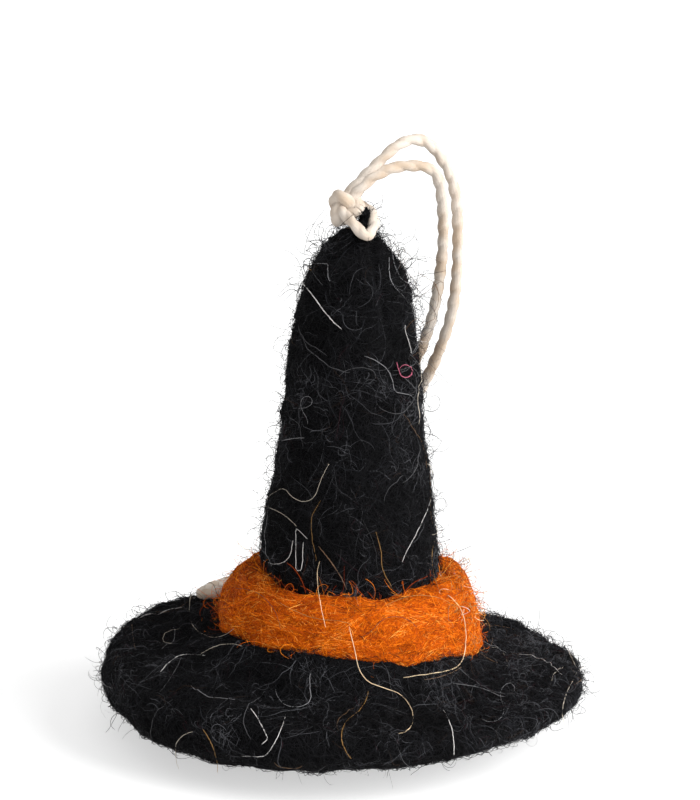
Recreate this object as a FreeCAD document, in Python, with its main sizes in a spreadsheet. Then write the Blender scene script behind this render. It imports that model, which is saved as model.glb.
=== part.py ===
# Needle-felted wool witch hat with a twisted cotton hanging loop.
#
# Frame: millimetres, +Z up, origin at the centre of the brim's underside, -Y is the hat's front.
# The brim and the crown are each a core of plain wool wrapped in a coat of black wool. An orange wool
# band lies round the foot of the crown. One cotton string is stitched through the crown's tip, closed
# above it by a knot, and its doubled length hangs behind the crown and rests on the brim.

import FreeCAD, Part
import math
import os
import Sketcher

os.makedirs("parts", exist_ok=True)

doc = FreeCAD.newDocument("witch_hat")
V = FreeCAD.Vector

# ---------------------------------------------------------------- driving dimensions

DIMENSIONS = {
    "brim_radius": 32.5,       # brim, centre to outermost edge
    "brim_top": 14.4,          # flat seat under the crown, above the table
    "edge_height": 7.6,        # middle of the rounded edge, above the table
    "edge_round": 5.0,         # radius of the rounded edge
    "seat_radius": 18.5,       # flat middle of the brim's top
    "foot_radius": 16.0,       # flat middle of the brim's underside
    "coat": 1.5,               # thickness of the black wool over each core
    "crown_shift": 1.2,        # crown's axis, to the right of the brim's centre
    "crown_top": 70.6,         # rounded tip, above the table
    "foot_r": 12.2,            # crown's radius down at the brim
    "waist_z": 27.0,           # height where the straight foot ends
    "middle_r": 10.1,
    "middle_z": 39.5,
    "upper_r": 9.1,
    "upper_z": 50.0,
    "shoulder_r": 7.0,
    "shoulder_z": 62.8,
    "tip_r": 4.3,              # where the cone runs into the rounded tip
    "tip_z": 68.2,
    "band_gap": 0.05,          # band to crown
    "band_outer": 17.3,        # band's radius where it meets the brim
    "band_shelf": 13.3,        # band's radius at its top edge
    "band_top": 21.9,          # band's top edge, above the table
    "band_round": 6.0,         # radius of the band's bulging side
    "cord_radius": 0.65,
    "cord_clearance": 0.05,    # felt and knot to the stitch
    "stitch_left": -3.7,       # centre lines of the stitch's four sides
    "stitch_right": 4.9,
    "stitch_low": 68.0,
    "stitch_high": 72.4,
    "stitch_bend": 1.4,        # bend radius at its corners
    "knot_centre": -0.5,
    "knot_half": 1.8,          # half the knot's length along the stitch
    "knot_radius": 1.7,
    "knot_end_radius": 1.1,
}

sheet = doc.addObject("Spreadsheet::Sheet", "Dims")
for row, (alias, value) in enumerate(DIMENSIONS.items(), start=1):
    sheet.set(f"A{row}", alias)
    sheet.set(f"B{row}", str(value))
    sheet.setAlias(f"B{row}", alias)
doc.recompute()

# The hanging loop's route: the corners of its runs, from the knot up and over, down behind the crown,
# round the bend that rests on the brim, and back up beside itself to the knot.
LOOP_ROUTE = [
    (-0.6, 0.3, 73.9),
    (2.6, 0.9, 77.5),
    (7.0, 2.4, 81.6),
    (10.9, 4.2, 81.5),
    (14.9, 6.6, 75.3),
    (15.5, 8.4, 62.0),
    (14.2, 10.0, 52.0),
    (10.0, 12.6, 43.0),
    (4.0, 17.0, 33.0),
    (-2.5, 22.3, 23.8),
    (-8.4, 25.4, 16.6),
    (-14.4, 25.0, 13.7),
    (-20.2, 21.8, 13.2),
    (-22.3, 16.9, 13.9),
    (-18.8, 12.9, 15.1),
    (-13.2, 13.9, 15.6),
    (-7.5, 17.4, 20.8),
    (-1.0, 15.4, 31.0),
    (6.0, 12.8, 42.0),
    (11.4, 10.4, 51.5),
    (13.1, 8.0, 64.0),
    (13.4, 5.6, 74.0),
    (11.6, 3.7, 78.1),
    (6.9, 1.6, 78.3),
    (3.6, 0.3, 76.4),
    (0.8, -0.2, 73.75),
]
RUN_SHARE = 0.45   # share of the shorter run that a corner's arc takes up


# ---------------------------------------------------------------- sketches and bodies

def origin_plane(body, role):
    return next(f for f in body.Origin.OriginFeatures if f.Role == role)


def new_body(label):
    body = doc.addObject("PartDesign::Body", label)
    body.Label = label
    return body


def new_sketch(body, name, role="XZ_Plane"):
    sketch = body.newObject("Sketcher::SketchObject", name)
    sketch.AttachmentSupport = (origin_plane(body, role), [""])
    sketch.MapMode = "FlatFace"
    return sketch


def bind(sketch, kind, where, name, expression, start_value):
    """Adds one dimensional constraint and binds it to the sheet."""
    index = sketch.addConstraint(Sketcher.Constraint(kind, *where, start_value))
    sketch.renameConstraint(index, name)
    sketch.setExpression(f"Constraints.{name}", expression)


def bind_point(sketch, geometry, end, name, across, up):
    """Fixes a point at (across, up), each given as (expression, start value)."""
    bind(sketch, "DistanceX", (-1, 1, geometry, end), f"{name}_r", *across)
    bind(sketch, "DistanceY", (-1, 1, geometry, end), f"{name}_z", *up)


def length(text):
    """Start value of an expression, worked out from the same dimensions."""
    total = 0.0
    for term in text.replace("- ", "+ -").split("+ "):
        term = term.strip()
        sign = -1.0 if term.startswith("-") else 1.0
        total += sign * DIMENSIONS[term.lstrip("-").strip().removeprefix("Dims.")]
    return total


def sized(text):
    return text, length(text)


def revolve(body, sketch, name, kind="PartDesign::Revolution"):
    feature = body.newObject(kind, name)
    feature.Profile = sketch
    feature.ReferenceAxis = (sketch, ["V_Axis"])
    feature.Angle = 360.0
    sketch.Visibility = False
    doc.recompute()
    return feature


def brim_outline(body, name, inset=""):
    """Half of the brim's section. With inset it is the parallel outline of the core inside the coat."""
    sketch = new_sketch(body, name)
    low = length("Dims.coat") if inset else 0.0
    foot, seat = length("Dims.foot_radius"), length("Dims.seat_radius")
    top = length(f"Dims.brim_top{inset}")
    edge_round = length(f"Dims.edge_round{inset}")
    centre = V(length("Dims.brim_radius - Dims.edge_round"), length("Dims.edge_height"), 0)

    def blend_radius(start, rise):
        """Radius of the arc that leaves a flat at its end and runs tangent into the edge's arc."""
        across = centre.x - start
        return (across**2 + rise**2 - edge_round**2) / (2 * (rise - edge_round))

    over = blend_radius(seat, top - centre.y)
    under = blend_radius(foot, centre.y - low)
    over_centre, under_centre = V(seat, top - over, 0), V(foot, low + under, 0)
    over_angle = math.atan2(centre.y - over_centre.y, centre.x - over_centre.x)
    under_angle = math.atan2(centre.y - under_centre.y, centre.x - under_centre.x)

    def arc(middle, radius, start, end):
        return Part.ArcOfCircle(Part.Circle(middle, V(0, 0, 1), radius), start, end)

    sketch.addGeometry([
        Part.LineSegment(V(0, low, 0), V(foot, low, 0)),
        arc(under_centre, under, -math.pi / 2, under_angle),
        arc(centre, edge_round, under_angle, over_angle),
        arc(over_centre, over, over_angle, math.pi / 2),
        Part.LineSegment(V(seat, top, 0), V(0, top, 0)),
        Part.LineSegment(V(0, top, 0), V(0, low, 0)),
    ], False)
    for first, second in ((0, 1), (1, 2), (2, 3)):
        sketch.addConstraint(Sketcher.Constraint("Tangent", first, 2, second, 1))
    sketch.addConstraint(Sketcher.Constraint("Tangent", 3, 2, 4, 1))
    sketch.addConstraint(Sketcher.Constraint("Coincident", 4, 2, 5, 1))
    sketch.addConstraint(Sketcher.Constraint("Coincident", 5, 2, 0, 1))
    sketch.addConstraint(Sketcher.Constraint("Horizontal", 0))
    sketch.addConstraint(Sketcher.Constraint("Horizontal", 4))
    sketch.addConstraint(Sketcher.Constraint("PointOnObject", 4, 2, -2))
    sketch.addConstraint(Sketcher.Constraint("PointOnObject", 0, 1, -2))
    bind(sketch, "DistanceX", (-1, 1, 0, 2), "foot_x", *sized("Dims.foot_radius"))
    bind_point(sketch, 2, 3, "edge", sized("Dims.brim_radius - Dims.edge_round"),
               sized("Dims.edge_height"))
    bind(sketch, "Radius", (2,), "edge_arc", *sized(f"Dims.edge_round{inset}"))
    bind_point(sketch, 4, 1, "seat", sized("Dims.seat_radius"), sized(f"Dims.brim_top{inset}"))
    if inset:
        bind(sketch, "DistanceY", (-1, 1, 0, 2), "foot_y", *sized("Dims.coat"))
    else:
        sketch.addConstraint(Sketcher.Constraint("PointOnObject", 0, 2, -1))
    return sketch


def crown_outline(body, name, inset=""):
    """Half of the crown's section about its own axis: a straight foot, a slow taper and a round tip."""
    sketch = new_sketch(body, name)
    stations = [
        ("foot", f"Dims.foot_r{inset}", "Dims.brim_top"),
        ("waist", f"Dims.foot_r{inset}", "Dims.waist_z"),
        ("middle", f"Dims.middle_r{inset}", "Dims.middle_z"),
        ("upper", f"Dims.upper_r{inset}", "Dims.upper_z"),
        ("shoulder", f"Dims.shoulder_r{inset}", "Dims.shoulder_z"),
        ("tip", f"Dims.tip_r{inset}", f"Dims.tip_z{inset}"),
    ]
    points = [V(length(r), length(z), 0) for _, r, z in stations]
    top = length(f"Dims.crown_top{inset}")
    tip = points[-1]
    centre_height = (top**2 - tip.y**2 - tip.x**2) / (2 * (top - tip.y))
    start = math.atan2(tip.y - centre_height, tip.x)
    cap = Part.Circle(V(0, centre_height, 0), V(0, 0, 1), top - centre_height)
    sketch.addGeometry(Part.LineSegment(V(0, points[0].y, 0), points[0]), False)
    for low, high in zip(points, points[1:]):
        sketch.addGeometry(Part.LineSegment(low, high), False)
    arc = sketch.addGeometry(Part.ArcOfCircle(cap, start, math.pi / 2), False)
    axis = sketch.addGeometry(Part.LineSegment(V(0, top, 0), V(0, points[0].y, 0)), False)
    for index in range(arc + 1):
        sketch.addConstraint(Sketcher.Constraint("Coincident", index, 2, index + 1, 1))
    sketch.addConstraint(Sketcher.Constraint("Coincident", axis, 2, 0, 1))
    sketch.addConstraint(Sketcher.Constraint("PointOnObject", arc, 3, -2))
    sketch.addConstraint(Sketcher.Constraint("PointOnObject", arc, 2, -2))
    sketch.addConstraint(Sketcher.Constraint("PointOnObject", 0, 1, -2))
    sketch.addConstraint(Sketcher.Constraint("Horizontal", 0))
    for index, (label, r, z) in enumerate(stations):
        bind_point(sketch, index, 2, label, sized(r), sized(z))
    bind(sketch, "DistanceY", (-1, 1, arc, 2), "crest", *sized(f"Dims.crown_top{inset}"))
    return sketch


def make_brim():
    core = new_body("brim_core")
    revolve(core, brim_outline(core, "core_section", " - Dims.coat"), "core_turned")
    cover = new_body("brim_cover")
    revolve(cover, brim_outline(cover, "coat_section"), "coat_turned")
    revolve(cover, brim_outline(cover, "hollow_section", " - Dims.coat"), "coat_hollow",
            "PartDesign::Groove")
    return core, cover


def make_crown(channel):
    core = new_body("crown_core_blank")
    revolve(core, crown_outline(core, "root_section", " - Dims.coat"), "root_turned")
    cover = new_body("crown_cover_blank")
    revolve(cover, crown_outline(cover, "cone_section"), "cone_turned")
    revolve(cover, crown_outline(cover, "cone_hollow_section", " - Dims.coat"), "cone_hollow",
            "PartDesign::Groove")
    pieces = []
    for blank, label in ((core, "crown_core"), (cover, "crown_cover")):
        blank.setExpression("Placement.Base.x", "Dims.crown_shift")
        piece = doc.addObject("Part::Cut", label)
        piece.Label = label
        piece.Base = blank
        piece.Tool = channel
        pieces.append(piece)
    doc.recompute()
    return pieces


def make_band():
    band = new_body("hat_band")
    sketch = new_sketch(band, "band_section")
    inner = length("Dims.foot_r + Dims.band_gap")
    low, top = length("Dims.brim_top"), length("Dims.band_top")
    outer, shelf = length("Dims.band_outer"), length("Dims.band_shelf")
    start, end = V(outer, low, 0), V(shelf, top, 0)
    chord = end - start
    radius = length("Dims.band_round")
    sideways = V(-chord.y, chord.x, 0).normalize()
    centre = (start + end) * 0.5 + sideways * math.sqrt(radius**2 - (chord.Length / 2) ** 2)
    angles = [math.atan2(p.y - centre.y, p.x - centre.x) for p in (start, end)]
    sketch.addGeometry([
        Part.LineSegment(V(inner, low, 0), start),
        Part.ArcOfCircle(Part.Circle(centre, V(0, 0, 1), radius), *angles),
        Part.LineSegment(end, V(inner, top, 0)),
        Part.LineSegment(V(inner, top, 0), V(inner, low, 0)),
    ], False)
    for index in range(4):
        sketch.addConstraint(Sketcher.Constraint("Coincident", index, 2, (index + 1) % 4, 1))
    sketch.addConstraint(Sketcher.Constraint("Horizontal", 2))
    sketch.addConstraint(Sketcher.Constraint("Vertical", 3))
    bind_point(sketch, 0, 1, "inner", sized("Dims.foot_r + Dims.band_gap"), sized("Dims.brim_top"))
    bind_point(sketch, 0, 2, "outer", sized("Dims.band_outer"), sized("Dims.brim_top"))
    bind_point(sketch, 1, 2, "shelf", sized("Dims.band_shelf"), sized("Dims.band_top"))
    bind(sketch, "Radius", (1,), "bulge", *sized("Dims.band_round"))
    revolve(band, sketch, "band_turned")
    band.setExpression("Placement.Base.x", "Dims.crown_shift")
    return band


def make_knot():
    """The overhand knot as a barrel on the stitch's upper run, free to turn on it."""
    knot = new_body("cord_knot")
    sketch = new_sketch(knot, "knot_section")
    half, bore = length("Dims.knot_half"), length("Dims.cord_radius + Dims.cord_clearance")
    end_radius, middle_radius = length("Dims.knot_end_radius"), length("Dims.knot_radius")
    side = Part.Arc(V(half, end_radius, 0), V(0, middle_radius, 0), V(-half, end_radius, 0))
    sketch.addGeometry([
        Part.LineSegment(V(-half, bore, 0), V(half, bore, 0)),
        Part.LineSegment(V(half, bore, 0), V(half, end_radius, 0)),
        side,
        Part.LineSegment(V(-half, end_radius, 0), V(-half, bore, 0)),
    ], False)
    for index in range(4):
        sketch.addConstraint(Sketcher.Constraint("Coincident", index, 2, (index + 1) % 4, 1))
    for index in (1, 3):
        sketch.addConstraint(Sketcher.Constraint("Vertical", index))
    sketch.addConstraint(Sketcher.Constraint("Symmetric", 0, 1, 0, 2, -2))
    bind(sketch, "DistanceX", (-1, 1, 0, 2), "half_long", *sized("Dims.knot_half"))
    bind(sketch, "DistanceY", (-1, 1, 0, 2), "bore", *sized("Dims.cord_radius + Dims.cord_clearance"))
    bind(sketch, "DistanceY", (-1, 1, 1, 2), "end_one", *sized("Dims.knot_end_radius"))
    bind(sketch, "DistanceY", (-1, 1, 2, 2), "end_two", *sized("Dims.knot_end_radius"))
    rise = middle_radius - end_radius
    bind(sketch, "Radius", (2,), "barrel",
         "((Dims.knot_radius - Dims.knot_end_radius)^2 + Dims.knot_half^2)"
         " / (2 * (Dims.knot_radius - Dims.knot_end_radius))",
         (rise**2 + half**2) / (2 * rise))
    feature = revolve(knot, sketch, "knot_turned")
    feature.ReferenceAxis = (sketch, ["H_Axis"])
    knot.setExpression("Placement.Base.x", "Dims.knot_centre")
    knot.setExpression("Placement.Base.z", "Dims.stitch_high")
    doc.recompute()
    return knot


# ---------------------------------------------------------------- cords

def rounded_path(corners, closed, bend=None):
    """Straight runs joined by tangent arcs, and the arcs' radii. An arc is as large as its two runs
    allow, unless bend gives one radius for all."""
    count = len(corners)
    turning = range(count) if closed else range(1, count - 1)
    cuts, radii = {}, []
    for index in turning:
        corner = corners[index]
        back = corners[index - 1] - corner
        ahead = corners[(index + 1) % count] - corner
        half_turn = (math.pi - back.getAngle(ahead)) / 2
        radius = bend or RUN_SHARE * min(back.Length, ahead.Length) / math.tan(half_turn)
        reach = radius * math.tan(half_turn)
        back.normalize()
        ahead.normalize()
        inward = (back + ahead).normalize()
        middle = corner + inward * (radius / math.cos(half_turn) - radius)
        cuts[index] = (corner + back * reach, middle, corner + ahead * reach)
        radii.append(radius)
    edges = []
    position = cuts[0][2] if closed else corners[0]
    order = list(turning)[1:] + [0] if closed else turning
    for index in order:
        start, middle, end = cuts[index]
        edges.append(Part.LineSegment(position, start).toShape())
        edges.append(Part.Arc(start, middle, end).toShape())
        position = end
    if not closed:
        edges.append(Part.LineSegment(position, corners[-1]).toShape())
    return Part.Wire(edges), radii


def cord_tube(name, corners, radius, closed=False, bend=None):
    """A round cord of one radius along a rounded path, as one solid."""
    path, radii = rounded_path([V(*corner) for corner in corners], closed, bend)
    first = path.Edges[0]
    start = first.valueAt(first.FirstParameter)
    along = first.tangentAt(first.FirstParameter)
    section = Part.Wire(Part.Circle(start, along, radius).toShape())
    tube = path.makePipeShell([section], True, False)
    expected = math.pi * radius**2 * path.Length
    print(f"{name}: length {path.Length:.1f} mm, volume {tube.Volume:.2f} of {expected:.2f} mm3,"
          f" arc radii {', '.join(f'{r:.1f}' for r in radii)}")
    if abs(tube.Volume - expected) > 0.01 * expected:
        raise RuntimeError(f"{name}: the tube's volume doesn't match its length")
    cord = doc.addObject("Part::Feature", name)
    cord.Label = name
    cord.Shape = tube
    cord.Placement = FreeCAD.Placement()
    return cord


def make_stitch(name, radius):
    """The string's ring through the crown's tip: a rounded rectangle in the plane y = 0."""
    left, right = sheet.stitch_left, sheet.stitch_right
    low, high = sheet.stitch_low, sheet.stitch_high
    corners = [(left, 0, high), (right, 0, high), (right, 0, low), (left, 0, low)]
    return cord_tube(name, corners, radius, closed=True, bend=sheet.stitch_bend)


# ---------------------------------------------------------------- assembly and export

channel = make_stitch("stitch_channel", sheet.cord_radius + sheet.cord_clearance)
subparts = [
    *make_brim(),
    *make_crown(channel),
    make_band(),
    make_stitch("cord_stitch", sheet.cord_radius),
    make_knot(),
    cord_tube("hanging_loop", LOOP_ROUTE, sheet.cord_radius),
]
doc.recompute()

for item in doc.Objects:
    if "Invalid" in item.State or "Error" in item.State:
        raise RuntimeError(f"{item.Label} failed to recompute: {item.State}")
    if item.TypeId == "Sketcher::SketchObject" and not item.FullyConstrained:
        raise RuntimeError(f"{item.Label} is not fully constrained")
for piece in subparts:
    if piece.Shape.isNull() or not piece.Shape.isValid() or len(piece.Shape.Solids) != 1:
        raise RuntimeError(f"{piece.Label} is not one valid solid")
for piece in subparts:
    box = piece.Shape.optimalBoundingBox(False, False)
    piece.Shape.exportStep(os.path.join("parts", f"{piece.Label}.step"))
    print(f"{piece.Label}: {piece.Shape.Volume:.1f} mm3,"
          f" x {box.XMin:.2f}..{box.XMax:.2f}, y {box.YMin:.2f}..{box.YMax:.2f},"
          f" z {box.ZMin:.2f}..{box.ZMax:.2f}")
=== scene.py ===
# Looks of the needle-felted witch hat: matted wool bodies, the fibres that lie on them and stand off
# them, and the twisted cotton loop. Metres, +Z up, -Y is the front, as in the CAD frame.

import math

import bpy
import numpy as np
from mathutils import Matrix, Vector
from mathutils.bvhtree import BVHTree


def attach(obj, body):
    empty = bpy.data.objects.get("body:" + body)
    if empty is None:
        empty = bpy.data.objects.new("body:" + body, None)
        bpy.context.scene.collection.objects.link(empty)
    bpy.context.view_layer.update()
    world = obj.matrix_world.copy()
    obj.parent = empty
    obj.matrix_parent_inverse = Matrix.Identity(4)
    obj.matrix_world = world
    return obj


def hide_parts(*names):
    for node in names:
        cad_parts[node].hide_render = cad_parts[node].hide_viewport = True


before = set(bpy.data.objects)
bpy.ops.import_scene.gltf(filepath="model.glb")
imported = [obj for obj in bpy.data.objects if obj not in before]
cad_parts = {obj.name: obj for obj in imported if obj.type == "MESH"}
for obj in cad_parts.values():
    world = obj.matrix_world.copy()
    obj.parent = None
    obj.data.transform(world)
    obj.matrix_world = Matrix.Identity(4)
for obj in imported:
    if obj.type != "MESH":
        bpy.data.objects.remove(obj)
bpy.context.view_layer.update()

MM = 0.001
TURN = 2 * math.pi

# ---------------------------------------------------------------- camera

AIM = Vector((0.8 * MM, 0.0, 46.2 * MM))
CAMERA_DISTANCE = 0.6
CAMERA_ELEVATION = math.radians(16)
CAMERA_LENS = 201.4
TOWARDS_CAMERA = Vector((0.0, -math.cos(CAMERA_ELEVATION), math.sin(CAMERA_ELEVATION)))


def add_object(name, data):
    obj = bpy.data.objects.new(name, data)
    bpy.context.scene.collection.objects.link(obj)
    return obj


def add_camera():
    data = bpy.data.cameras.new("camera")
    data.lens = CAMERA_LENS
    camera = add_object("camera", data)
    camera.location = AIM + TOWARDS_CAMERA * CAMERA_DISTANCE
    camera.rotation_euler = (-TOWARDS_CAMERA).to_track_quat("-Z", "Y").to_euler()
    bpy.context.scene.camera = camera


add_camera()

# ---------------------------------------------------------------- materials


# How fine each noise is, in features per metre.
TANGLE_SCALE = 1500
RELIEF_SCALE = 3200
PATCH_SCALE = 260
YARN_SCALE = 4200

COTTON_CLEAN = (0.52, 0.46, 0.40)
COTTON_WARM = (0.42, 0.33, 0.25)


def new_material(name, color, roughness, specular, sheen=0.0):
    """A Principled material; returns it with its nodes, links and shader."""
    material = bpy.data.materials.new(name)
    material.use_nodes = True
    nodes, links = material.node_tree.nodes, material.node_tree.links
    shader = nodes["Principled BSDF"]
    shader.inputs["Base Color"].default_value = (*color, 1.0)
    shader.inputs["Roughness"].default_value = roughness
    shader.inputs["Specular IOR Level"].default_value = specular
    shader.inputs["Sheen Weight"].default_value = sheen
    return material, nodes, links, shader


def object_noise(nodes, links, scale, detail, distortion=0.0):
    """Noise in the object's own metres: scale is features per metre."""
    place = nodes.new("ShaderNodeTexCoord")
    noise = nodes.new("ShaderNodeTexNoise")
    noise.inputs["Scale"].default_value = scale
    noise.inputs["Detail"].default_value = detail
    noise.inputs["Distortion"].default_value = distortion
    links.new(place.outputs["Object"], noise.inputs["Vector"])
    return noise


def color_ramp(nodes, links, source, stops):
    ramp = nodes.new("ShaderNodeValToRGB")
    elements = ramp.color_ramp.elements
    while len(elements) < len(stops):
        elements.new(0.5)
    for element, (position, color) in zip(elements, stops):
        element.position = position
        element.color = (*color, 1.0)
    links.new(source, ramp.inputs["Fac"])
    return ramp


def add_bump(nodes, links, shader, height, distance, strength=1.0):
    bump = nodes.new("ShaderNodeBump")
    bump.inputs["Distance"].default_value = distance
    bump.inputs["Strength"].default_value = strength
    links.new(height, bump.inputs["Height"])
    links.new(bump.outputs["Normal"], shader.inputs["Normal"])


def felt_material(name, stops):
    """Matted wool between the fibres: clouded colour and a tangled, fibrous relief."""
    material, nodes, links, shader = new_material(name, stops[1][1], 0.95, 0.04)
    tangle = object_noise(nodes, links, TANGLE_SCALE, 4.0, 2.5)
    ramp = color_ramp(nodes, links, tangle.outputs["Fac"], stops)
    links.new(ramp.outputs["Color"], shader.inputs["Base Color"])
    relief = object_noise(nodes, links, RELIEF_SCALE, 3.0, 3.0)
    add_bump(nodes, links, shader, relief.outputs["Fac"], 0.25 * MM)
    return material


def cotton_material():
    """Ivory cotton with warmer patches and a fine grain of yarn."""
    material, nodes, links, shader = new_material("cotton", COTTON_CLEAN, 0.85, 0.1, 0.1)
    patches = object_noise(nodes, links, PATCH_SCALE, 2.0)
    stops = [(0.38, COTTON_WARM), (0.58, COTTON_CLEAN)]
    ramp = color_ramp(nodes, links, patches.outputs["Fac"], stops)
    links.new(ramp.outputs["Color"], shader.inputs["Base Color"])
    yarn = object_noise(nodes, links, YARN_SCALE, 3.0, 1.0)
    add_bump(nodes, links, shader, yarn.outputs["Fac"], 0.08 * MM, 0.8)
    return material


def fibre_materials(prefix, shades, roughness, specular, sheen=0.0):
    """One material for each shade of fibre."""
    return [
        new_material(f"{prefix}_{shade}", color, roughness, specular, sheen)[0]
        for shade, color in shades.items()
    ]


# The shares say how much of each shade is in a mix, in the order of the shades above them.
BLACK_SHADES = {
    "jet": (0.0034, 0.0034, 0.0039),
    "black": (0.0058, 0.0058, 0.0066),
    "soot": (0.0105, 0.0105, 0.0122),
    "wine": (0.022, 0.007, 0.010),
    "slate": (0.021, 0.022, 0.026),
    "brown": (0.030, 0.018, 0.012),
    "grey": (0.070, 0.071, 0.078),
}
BLACK_SHARES = (0.33, 0.33, 0.22, 0.008, 0.084, 0.010, 0.018)
ORANGE_SHADES = {
    "umber": (0.045, 0.012, 0.003),
    "deep": (0.18, 0.019, 0.001),
    "burnt": (0.38, 0.050, 0.001),
    "orange": (0.62, 0.112, 0.002),
    "bright": (0.90, 0.235, 0.006),
    "pale": (0.97, 0.42, 0.07),
}
ORANGE_SHARES = (0.06, 0.14, 0.22, 0.28, 0.24, 0.06)
STRAY_SHADES = {
    "white": (0.72, 0.70, 0.68),
    "ivory": (0.62, 0.55, 0.45),
    "grey": (0.22, 0.22, 0.23),
    "dim": (0.07, 0.07, 0.075),
    "brown": (0.16, 0.09, 0.045),
    "gold": (0.38, 0.20, 0.05),
    "pink": (0.55, 0.12, 0.20),
    "dark": (0.010, 0.010, 0.011),
    "cream": (0.86, 0.66, 0.42),
}

BLACK_FELT = felt_material(
    "black_felt",
    [(0.35, (0.002, 0.002, 0.0023)), (0.55, (0.0045, 0.0045, 0.005)), (0.75, (0.010, 0.010, 0.0115))],
)
ORANGE_FELT = felt_material(
    "orange_felt",
    [(0.30, (0.22, 0.026, 0.001)), (0.52, (0.48, 0.078, 0.002)), (0.72, (0.70, 0.15, 0.005))],
)
COTTON = cotton_material()
COTTON_FUZZ = fibre_materials("cotton_fuzz", {"ivory": (0.53, 0.47, 0.41)}, 0.8, 0.1, 0.1)
BLACK_FIBRES = fibre_materials("black_wool", BLACK_SHADES, 0.60, 0.07)
ORANGE_FIBRES = fibre_materials("orange_wool", ORANGE_SHADES, 0.60, 0.10)
STRAY_FIBRES = fibre_materials("stray", STRAY_SHADES, 0.45, 0.40)
STRAY_INDEX = {shade: i for i, shade in enumerate(STRAY_SHADES)}

# ---------------------------------------------------------------- lines and tubes


CURVE_STEPS = 24    # between two points of a curve
FIBRE_SIDES = 3


def even_steps(line, count):
    """The same line as count points at even steps of its length."""
    line = np.asarray(line, dtype=float)
    travelled = np.concatenate([[0.0], np.cumsum(np.linalg.norm(np.diff(line, axis=0), axis=1))])
    where = np.linspace(0.0, travelled[-1], count)
    return np.stack([np.interp(where, travelled, line[:, i]) for i in range(line.shape[1])], axis=1)


def smooth_line(points, count):
    """A Catmull-Rom line through the points, as count even steps."""
    p = np.asarray(points, dtype=float)
    p = np.concatenate([[2 * p[0] - p[1]], p, [2 * p[-1] - p[-2]]])
    t = np.linspace(0.0, 1.0, CURVE_STEPS, endpoint=False)[:, None]
    pieces = []
    for a, b, c, d in zip(p, p[1:], p[2:], p[3:]):
        pieces.append(
            b + 0.5 * t * ((c - a) + t * ((2 * a - 5 * b + 4 * c - d) + t * (3 * (b - c) + d - a)))
        )
    pieces.append(p[-2:-1])
    return even_steps(np.concatenate(pieces), count)


def line_length(line):
    return float(np.linalg.norm(np.diff(line, axis=0), axis=1).sum())


def build_mesh(name, points, faces, materials, face_materials=None):
    """A mesh object from arrays; faces is an array of quads, or of quads and triangles padded with -1."""
    mesh = bpy.data.meshes.new(name)
    sizes = (faces >= 0).sum(axis=1)
    corners = faces[faces >= 0]
    mesh.vertices.add(len(points))
    mesh.vertices.foreach_set("co", np.ascontiguousarray(points, dtype=np.float32).ravel())
    mesh.loops.add(len(corners))
    mesh.loops.foreach_set("vertex_index", corners.astype(np.int32))
    mesh.polygons.add(len(faces))
    starts = np.concatenate([[0], np.cumsum(sizes)[:-1]]).astype(np.int32)
    mesh.polygons.foreach_set("loop_start", starts)
    for material in materials:
        mesh.materials.append(material)
    if face_materials is not None:
        mesh.polygons.foreach_set("material_index", face_materials.astype(np.int32))
    mesh.polygons.foreach_set("use_smooth", np.full(len(faces), True))
    mesh.update(calc_edges=True)
    mesh.validate()
    return add_object(name, mesh)


ANY_WAY = (0.31, 0.52, 0.79)    # a direction that no line starts out in


def tube_frames(lines):
    """Tangents and two normals at every point of many lines at once: lines is (lines, points, 3)."""
    tangents = np.gradient(lines, axis=1)
    tangents /= np.maximum(np.linalg.norm(tangents, axis=2, keepdims=True), 1e-12)
    side = np.cross(tangents[:, 0], ANY_WAY)
    normals = np.empty_like(lines)
    for k in range(lines.shape[1]):
        side = side - tangents[:, k] * (side * tangents[:, k]).sum(axis=1, keepdims=True)
        side /= np.maximum(np.linalg.norm(side, axis=1, keepdims=True), 1e-12)
        normals[:, k] = side
    return tangents, normals, np.cross(tangents, normals)


def tube_mesh(name, lines, radii, materials, shade=None):
    """Closed three-sided tubes along many lines of equally many points, as one object."""
    count, steps = lines.shape[:2]
    sides = FIBRE_SIDES
    _, normals, binormals = tube_frames(lines)
    turn = np.arange(sides) * TURN / sides
    ring = (
        normals[:, :, None] * np.cos(turn)[None, None, :, None]
        + binormals[:, :, None] * np.sin(turn)[None, None, :, None]
    )
    points = lines[:, :, None] + ring * radii[:, :, None, None]
    around = np.arange(sides)
    quads = np.stack(
        [
            np.stack([k * sides + around, k * sides + (around + 1) % sides,
                      (k + 1) * sides + (around + 1) % sides, (k + 1) * sides + around], axis=1)
            for k in range(steps - 1)
        ]
    ).reshape(-1, 4)
    last = (steps - 1) * sides
    caps = np.array([[2, 1, 0, -1], [last, last + 1, last + 2, -1]])
    quads = np.concatenate([quads, caps])
    offsets = np.arange(count)[:, None, None] * steps * sides
    faces = np.where(quads[None] >= 0, quads[None] + offsets, -1).reshape(-1, 4)
    shades = None if shade is None else np.repeat(shade, len(quads))
    return build_mesh(name, points.reshape(-1, 3), faces, materials, shades)


# ---------------------------------------------------------------- uneven lathed bodies


class Lumps:
    """Smooth seeded unevenness: the sum of waves of about one size in many directions."""

    WAVES = 22

    def __init__(self, seed, size, height, stretch=(1.0, 1.0, 1.0)):
        rng = np.random.default_rng(seed)
        way = rng.normal(size=(self.WAVES, 3))
        way /= np.linalg.norm(way, axis=1, keepdims=True)
        self.way = way * (TURN / size) * rng.uniform(0.6, 1.5, (self.WAVES, 1)) * np.asarray(stretch)
        self.phase = rng.uniform(0, TURN, self.WAVES)
        self.height = height * math.sqrt(2.0 / self.WAVES)

    def __call__(self, points):
        total = np.zeros(points.shape[:-1])
        for way, phase in zip(self.way, self.phase):
            total += np.sin(points @ way + phase)
        return total * self.height


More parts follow.
